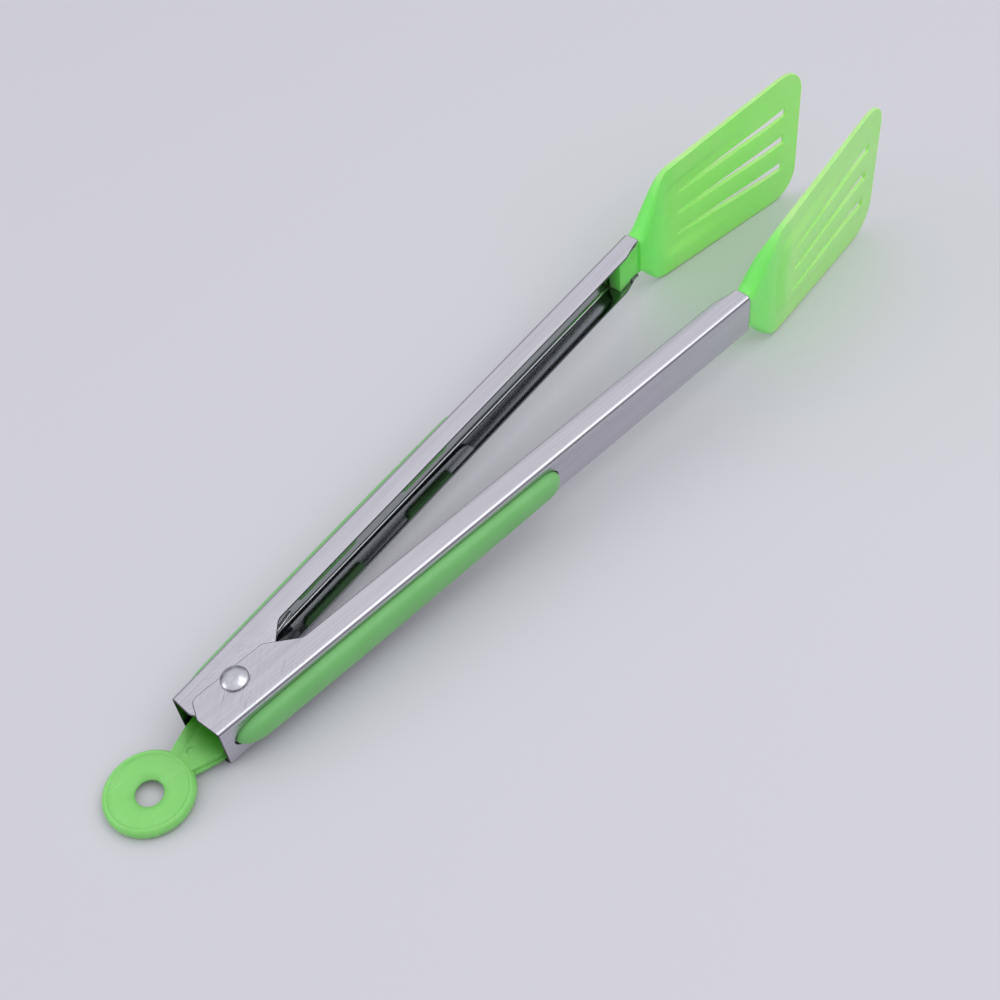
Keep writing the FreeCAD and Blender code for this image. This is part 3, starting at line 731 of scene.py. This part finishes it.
def polished_steel(name, place, colour, rough):
    """Bright steel with darker patches and faint dents."""
    material, tree, shader = new_material(name)
    vector = place_mapping(tree, place)
    patches = add_noise(tree, vector, 0.7, 3)
    dents = add_noise(tree, vector, 0.45, 1)
    tree.links.new(add_mix(tree, patches, STEEL_DENTED, colour), shader.inputs["Base Color"])
    roughness = add_range(tree, patches, NOISE_LOW, NOISE_HIGH, rough - 0.05, rough + 0.08)
    tree.links.new(roughness, shader.inputs["Roughness"])
    tree.links.new(add_bump(tree, dents, 0.6, 0.15), shader.inputs["Normal"])
    shader.inputs["Metallic"].default_value = 1.0
    return material


def rivet_profile():
    """Half section of the rivet's upper half, from the middle of its dome to the middle of its shank."""
    sphere = (RIVET_HEAD ** 2 + RIVET_DOME ** 2) / (2 * RIVET_DOME)
    top = RIVET_SEAT + RIVET_RIM + RIVET_DOME
    full = math.asin((RIVET_HEAD - RIVET_RIM_EDGE) / sphere)
    turns = even_stops(0, full, DOME_STEPS) + [full]
    dome = [(sphere * math.sin(turn), top - sphere * (1 - math.cos(turn))) for turn in turns]
    rim = [(RIVET_HEAD - 0.02, RIVET_SEAT + RIVET_RIM - 0.08), (RIVET_HEAD, RIVET_SEAT + RIVET_RIM_EDGE),
           (RIVET_HEAD - 0.12, RIVET_SEAT), (RIVET_RADIUS, RIVET_SEAT), (RIVET_RADIUS, 0)]
    return dome + rim


def whole_bmesh(bm):
    return list(bm.verts) + list(bm.edges) + list(bm.faces)


bm = bmesh.new()
outline = [bm.verts.new((radius, 0, height)) for radius, height in rivet_profile()]
edges = [bm.edges.new(pair) for pair in zip(outline, outline[1:])]
bmesh.ops.spin(bm, geom=outline + edges, cent=(0, 0, 0), axis=(0, 0, 1), angle=2 * math.pi,
               steps=RIVET_STEPS, use_merge=True)
bmesh.ops.remove_doubles(bm, verts=bm.verts, dist=MERGE_CLOSE)
bmesh.ops.mirror(bm, geom=whole_bmesh(bm), axis="Z", merge_dist=MERGE_GAP)
bmesh.ops.remove_doubles(bm, verts=bm.verts, dist=MERGE_CLOSE)
bmesh.ops.transform(bm, matrix=tongs_place, verts=bm.verts)
rivet_steel = polished_steel("rivet_steel", tongs_place, RIVET_BRIGHT, RIVET_ROUGHNESS)
rivet = finish_mesh(bm, "rivet", "pivot", rivet_steel)
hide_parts("pivot_rivet")
sleeve_steel = polished_steel("sleeve_steel", tongs_place, SLEEVE_BRIGHT, SLEEVE_ROUGHNESS)
give_material(frame["nodes"]["spacer_sleeve"], sleeve_steel)

# ---- Return spring --------------------------------------------------------------------------------------
# A torsion spring of hard stainless wire round the sleeve. Each leg lies along the inside of an arm, and
# the spring is made as two halves that meet in the middle of the coil.
WIRE_RADIUS = 0.8
WIRE_SIDES = 14
WIRE_END = 0.25
SPRING_GAP = 0.3
TAB_TOP = -3.87
COIL_RADIUS = 4.2
COIL_PITCH = 1.7
COIL_WHOLE_TURNS = 4
COIL_BOTTOM = TAB_TOP + SPRING_GAP + WIRE_RADIUS
HALF_COIL_STEPS = 96
LEG_REACH = 30.0
LEG_FACE = POCKET_FLOOR - SHEET - SPRING_GAP - WIRE_RADIUS
LEG_PARTS = (0.1, 0.35, 0.35, 0.2)
SPRING_BRIGHT = (0.55, 0.55, 0.57, 1)
SPRING_ROUGHNESS = 0.3

leg_y = LEG_FACE / math.cos(OPEN_ANGLE) + LEG_REACH * math.tan(OPEN_ANGLE)
leg_turn = math.atan2(leg_y, LEG_REACH) - math.asin(COIL_RADIUS / math.hypot(LEG_REACH, leg_y))
leave_angle = leg_turn + math.pi / 2
coil_sweep = 2 * math.pi * COIL_WHOLE_TURNS + 2 * (math.pi - leave_angle)
coil_height = COIL_PITCH * coil_sweep / (2 * math.pi)
spring_steel = polished_steel("spring_steel", tongs_place, SPRING_BRIGHT, SPRING_ROUGHNESS)
coil_axis = Vector((0, 0, 1))

for side, sense in (("left", 1), ("right", -1)):
    bm = bmesh.new()
    ring = bmesh.ops.create_circle(bm, cap_ends=True, segments=WIRE_SIDES, radius=WIRE_RADIUS)
    start_angle = sense * leave_angle
    start_z = COIL_BOTTOM if side == "left" else COIL_BOTTOM + coil_height
    direction = Vector((math.cos(start_angle), math.sin(start_angle), 0))
    start = direction * COIL_RADIUS + Vector((0, 0, start_z))
    turn = Matrix((direction, coil_axis, direction.cross(coil_axis))).transposed().to_4x4()
    bmesh.ops.transform(bm, matrix=Matrix.Translation(start) @ turn, verts=ring["verts"])
    rise = sense * coil_height / 2 / HALF_COIL_STEPS
    spun = bmesh.ops.spin(bm, geom=whole_bmesh(bm), cent=(0, 0, 0), axis=(0, 0, 1),
                          angle=sense * coil_sweep / 2, steps=HALF_COIL_STEPS, dvec=(0, 0, rise))
    caps = [face for face in bm.faces
            if len(face.verts) == WIRE_SIDES and face not in spun["geom_last"]]
    leg_end = Vector((LEG_REACH, sense * leg_y, start_z))
    leg = leg_end - start
    for share in LEG_PARTS:
        moved = lengthen_end(bm, caps, leg * share)
        caps = [face for face in bm.faces
                if len(face.verts) == WIRE_SIDES and all(vertex in moved for vertex in face.verts)]
    rim = [edge for face in caps for edge in face.edges]
    soften_edges(bm, rim, WIRE_END)
    bmesh.ops.transform(bm, matrix=tongs_place, verts=bm.verts)
    wire = finish_mesh(bm, "spring_" + side, None, spring_steel)
    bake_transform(wire)
    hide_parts("return_spring")

# ---- Pull tab -----------------------------------------------------------------------------------------
# One green moulding: a hanging ring with a raised ridge, and a flat stepped tab with a long slot round
# the sleeve. It is pushed in when the arms are open and pulled back to hold them shut.
TAB_BOTTOM = -7.27
TAB_LEDGE_HEIGHT = 1.5
TAB_STEP = TAB_BOTTOM + TAB_LEDGE_HEIGHT
TAB_LEDGE = 0.5
TAB_OVERLAP = 0.25
TAB_BACK = -25.4
TAB_BACK_HALF = 4.9
TAB_MOUTH = -16.8
TAB_MOUTH_HALF = 7.8
TAB_MOUTH_ROUND = 6.0
SHOULDER_BACK = -5.8
SHOULDER_FRONT = -4.6
SHOULDER_HALF = 9.48
SHOULDER_ROUND = 0.6
TAB_NOSE_BACK = -2.1
TAB_NOSE_FRONT = 12.7
TAB_NOSE_HALF = 8.78
TAB_NOSE_ROUND = 2.5
TAB_SLOT_BACK = -3.3
TAB_SLOT_FRONT = 10.3
TAB_SLOT_HALF = 3.3
TAB_SLOT_ROUND = 3.25
TAB_EDGE = 0.18
RING_CENTRE = -37.0
RING_MIDDLE = (TAB_BOTTOM + TAB_TOP) / 2
RING_STEPS = 88
RING_SECTION = [(4.2, 0.0), (4.26, 0.2), (4.5, 0.5), (5.2, 0.95), (6.0, 1.35), (6.5, 1.5), (7.2, 1.52),
                (10.0, 1.28), (11.2, 1.28), (11.6, 1.46), (12.0, 1.86), (12.4, 1.9), (13.0, 1.52),
                (13.4, 1.0), (13.5, 0.0)]
DIMPLE_PLACE = -20.8
DIMPLE_RADIUS = 1.4
DIMPLE_DEPTH = 0.4
DIMPLE_SIDES = 32
TAB_LIGHT = (0.27, 0.68, 0.19, 1)
TAB_DEEP = (0.23, 0.63, 0.155, 1)
# Painted shade: towards the arms the tab goes over to a dark green, for the shade where it runs in between
# them.
TAB_SHADE = (0.04, 0.30, 0.01, 1)
TAB_SHADE_PART = (-21.5, -13.0)
TAB_ROUGHNESS = 0.26
TAB_SOAK = 0.4


def bmesh_object(bm):
    mesh = bpy.data.meshes.new("blank")
    bm.to_mesh(mesh)
    bm.free()
    blank = bpy.data.objects.new("blank", mesh)
    bpy.context.scene.collection.objects.link(blank)
    return blank


def combined(first, others):
    """One bmesh from a solid and a list of (operation, solid) cut from or joined to it."""
    base = bmesh_object(first)
    tools = [bmesh_object(solid) for _, solid in others]
    for (operation, _), tool in zip(others, tools):
        step = base.modifiers.new(operation, "BOOLEAN")
        step.operation = operation
        step.solver = "EXACT"
        step.object = tool
    shaped = base.evaluated_get(bpy.context.evaluated_depsgraph_get())
    bm = bmesh.new()
    bm.from_mesh(shaped.data)
    for blank in [base] + tools:
        mesh = blank.data
        bpy.data.objects.remove(blank)
        bpy.data.meshes.remove(mesh)
    bmesh.ops.remove_doubles(bm, verts=bm.verts, dist=MERGE_CLOSE)
    return bm


def tab_layer(ledge, z0, z1):
    """One layer of the tab: half its outline with half the slot, mirrored and closed. Each corner
    is a place along, a place across and the radius that rounds it."""
    corners = [(TAB_BACK, 0, 0), (TAB_BACK, TAB_BACK_HALF - ledge, 0),
               (TAB_MOUTH, TAB_MOUTH_HALF - ledge, TAB_MOUTH_ROUND),
               (SHOULDER_BACK, SHOULDER_HALF, SHOULDER_ROUND),
               (SHOULDER_FRONT, SHOULDER_HALF, SHOULDER_ROUND),
               (TAB_NOSE_BACK, TAB_NOSE_HALF, TAB_NOSE_ROUND),
               (TAB_NOSE_FRONT, TAB_NOSE_HALF, TAB_NOSE_ROUND), (TAB_NOSE_FRONT, 0, 0),
               (TAB_SLOT_FRONT, 0, 0), (TAB_SLOT_FRONT, TAB_SLOT_HALF, TAB_SLOT_ROUND),
               (TAB_SLOT_BACK, TAB_SLOT_HALF, TAB_SLOT_ROUND), (TAB_SLOT_BACK, 0, 0)]
    layer = bmesh.new()
    rounded_face(layer, corners, lambda a, b: Vector((a, b, z0)))
    thicken(layer, list(layer.faces), (0, 0, z1 - z0))
    bmesh.ops.recalc_face_normals(layer, faces=layer.faces)
    middle = [face for face in layer.faces
              if all(abs(vertex.co.y) < LEVEL_GAP for vertex in face.verts)]
    bmesh.ops.delete(layer, geom=middle, context="FACES_ONLY")
    bmesh.ops.mirror(layer, geom=whole_bmesh(layer), axis="Y", merge_dist=MERGE_CLOSE)
    bmesh.ops.remove_doubles(layer, verts=layer.verts, dist=MERGE_CLOSE)
    bmesh.ops.dissolve_limit(layer, angle_limit=0.01, verts=layer.verts, edges=layer.edges)
    bmesh.ops.recalc_face_normals(layer, faces=layer.faces)
    rims = [edge for edge in edges_over(layer, CUT_EDGE_ANGLE)
            if abs(edge.verts[0].co.z - edge.verts[1].co.z) < LEVEL_GAP]
    soften_edges(layer, rims, TAB_EDGE)
    return layer


ring = bmesh.new()
upper = [(radius, RING_MIDDLE + height) for radius, height in RING_SECTION]
lower = [(radius, RING_MIDDLE - height) for radius, height in RING_SECTION[-2:0:-1]]
section = [ring.verts.new((radius, 0, height)) for radius, height in upper + lower]
loop = [ring.edges.new(pair) for pair in zip(section, section[1:] + section[:1])]
bmesh.ops.spin(ring, geom=section + loop, cent=(0, 0, 0), axis=(0, 0, 1), angle=2 * math.pi,
               steps=RING_STEPS, use_merge=True)
bmesh.ops.remove_doubles(ring, verts=ring.verts, dist=MERGE_CLOSE)
bmesh.ops.translate(ring, verts=ring.verts, vec=(RING_CENTRE, 0, 0))
bmesh.ops.recalc_face_normals(ring, faces=ring.faces)
dimple = bmesh.new()
dimple_place = Matrix.Translation((DIMPLE_PLACE, 0, TAB_TOP))
bmesh.ops.create_cone(dimple, cap_ends=True, segments=DIMPLE_SIDES, radius1=DIMPLE_RADIUS,
                      radius2=DIMPLE_RADIUS, depth=2 * DIMPLE_DEPTH, matrix=dimple_place)
lower_layer = tab_layer(0.0, TAB_BOTTOM, TAB_STEP)
upper_layer = tab_layer(TAB_LEDGE, TAB_STEP - TAB_OVERLAP, TAB_TOP)
bm = combined(ring, [("UNION", lower_layer), ("UNION", upper_layer), ("DIFFERENCE", dimple)])
bmesh.ops.transform(bm, matrix=tongs_place, verts=bm.verts)
# The tab's colour darkens towards the arms as painted shade.
tab_green = translucent_green("green_tab", tongs_place, TAB_LIGHT, TAB_DEEP, TAB_SHADE, TAB_SHADE_PART,
                              TAB_ROUGHNESS, TAB_SOAK)
tab = finish_mesh(bm, "tab", "puller", tab_green)
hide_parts("pull_tab")

# ---- Floor, light and camera ----------------------------------------------------------------------------
# A plain pale table under a wide soft light, with a weaker light behind on the left and a room that is
# darker on one side. It is seen from above, behind the tongs' right side.
TABLE_HALF = 4.0
TABLE_PAINT = (0.605, 0.60, 0.64, 1)
TABLE_ROUGHNESS = 0.6
OVERHEAD_PLACE = (0.3, -0.5, 1.1)
OVERHEAD_SIZE = (1.1, 0.95)
OVERHEAD_POWER = 4
OVERHEAD_COLOUR = (1, 0.99, 1)
SIDE_PLACE = (-1.1, 0.7, 0.5)
SIDE_SIZE = (0.7, 0.5)
SIDE_POWER = 2
SIDE_COLOUR = (0.97, 0.98, 1)
CEILING = (0.96, 0.96, 1.0, 1)
WALL = (0.20, 0.20, 0.22, 1)
DARK_WALL = (0.05, 0.05, 0.06, 1)
ROOM_STRENGTH = 0.97
WALL_TOP = 0.15
CEILING_EDGE = 0.55
DARK_FROM = -0.3
DARK_FULL = -1.1
CAMERA_PLACE = Vector((-101.838, -232.349, 379.033))
CAMERA_TURN = Euler([math.radians(turn) for turn in (37.956, 4.751, -48.505)])
CAMERA_LENS = 55.594

bm = bmesh.new()
bmesh.ops.create_grid(bm, x_segments=1, y_segments=1, size=TABLE_HALF)
floor_mesh = bpy.data.meshes.new("floor")
bm.to_mesh(floor_mesh)
bm.free()
floor = bpy.data.objects.new("floor", floor_mesh)
bpy.context.scene.collection.objects.link(floor)
floor_paint, tree, shader = new_material("pale_table")
shader.inputs["Base Color"].default_value = TABLE_PAINT
shader.inputs["Roughness"].default_value = TABLE_ROUGHNESS
give_material(floor, floor_paint)


def soft_light(name, place, size, power, colour):
    """A rectangular light, aimed at the middle of the tongs."""
    light = bpy.data.lights.new(name, "AREA")
    light.shape = "RECTANGLE"
    light.size, light.size_y = size
    light.energy = power
    light.color = colour
    lamp = bpy.data.objects.new(name, light)
    lamp.location = place
    lamp.rotation_mode = "QUATERNION"
    lamp.rotation_quaternion = (-Vector(place)).to_track_quat("-Z", "Y")
    bpy.context.scene.collection.objects.link(lamp)


soft_light("overhead", OVERHEAD_PLACE, OVERHEAD_SIZE, OVERHEAD_POWER, OVERHEAD_COLOUR)
soft_light("side", SIDE_PLACE, SIDE_SIZE, SIDE_POWER, SIDE_COLOUR)

world = bpy.data.worlds.new("studio")
bpy.context.scene.world = world
world.use_nodes = True
tree = world.node_tree
source = tree.nodes.new("ShaderNodeTexCoord")
split = tree.nodes.new("ShaderNodeSeparateXYZ")
tree.links.new(source.outputs["Generated"], split.inputs["Vector"])
high = add_range(tree, split.outputs["Z"], WALL_TOP, CEILING_EDGE, 0.0, 1.0)
across_room = add_math(tree, "ADD", split.outputs["X"], split.outputs["Y"])
dark_side = add_range(tree, across_room, DARK_FROM, DARK_FULL, 0.0, 1.0)
walls = add_mix(tree, dark_side, WALL, DARK_WALL)
room = add_mix(tree, high, walls, CEILING)
tree.links.new(room, tree.nodes["Background"].inputs["Color"])
tree.nodes["Background"].inputs["Strength"].default_value = ROOM_STRENGTH

lens = bpy.data.cameras.new("camera")
lens.lens = CAMERA_LENS
lens.sensor_width = 36
lens.clip_start = 0.01
lens.dof.use_dof = False
camera = bpy.data.objects.new("camera", lens)
camera.location = tongs_place @ CAMERA_PLACE
camera.rotation_euler = (tongs_turn @ CAMERA_TURN.to_matrix()).to_euler()
bpy.context.scene.collection.objects.link(camera)
bpy.context.scene.camera = camera
bpy.context.scene.view_settings.view_transform = "Standard"
